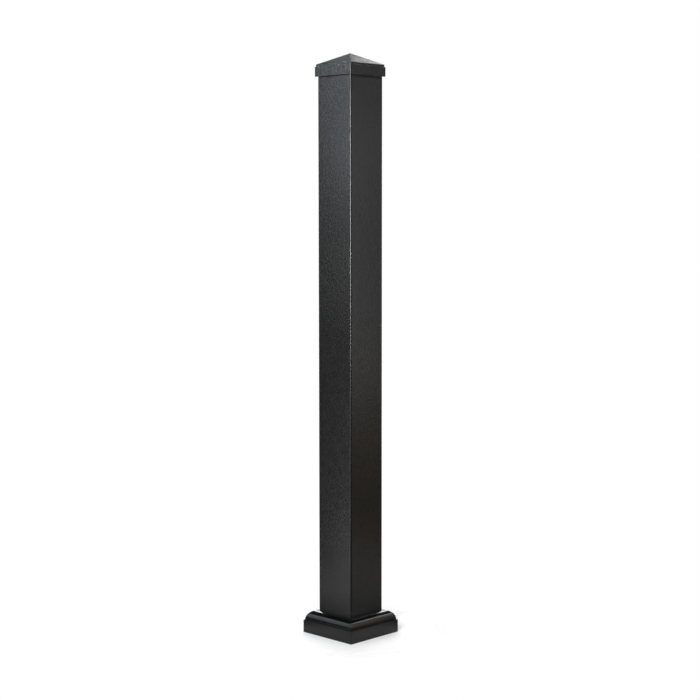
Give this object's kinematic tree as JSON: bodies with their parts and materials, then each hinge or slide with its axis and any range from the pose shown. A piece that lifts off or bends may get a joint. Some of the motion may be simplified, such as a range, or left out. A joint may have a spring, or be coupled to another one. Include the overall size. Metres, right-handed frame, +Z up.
{
  "type": "railing post",
  "caption": "Square surface-mount railing post with a pyramid cap, a moulded skirt round its foot and an anchor plate under it, in black powder-coated aluminium.",
  "frame": {"origin": "on the deck, at the centre of the post's foot", "axes": "+Z up along the post; X and Y square to its faces"},
  "size_m": [0.1142, 0.1142, 0.9751],
  "materials": {
    "black_coat": "satin",
    "screw_steel": "satin"
  },
  "bodies": {
    "root": {"post_tube": "black_coat", "post_cap": "black_coat", "base_skirt": "black_coat", "base_plate": "black_coat", "plate_screws": "screw_steel"}
  },
  "joints": []
}
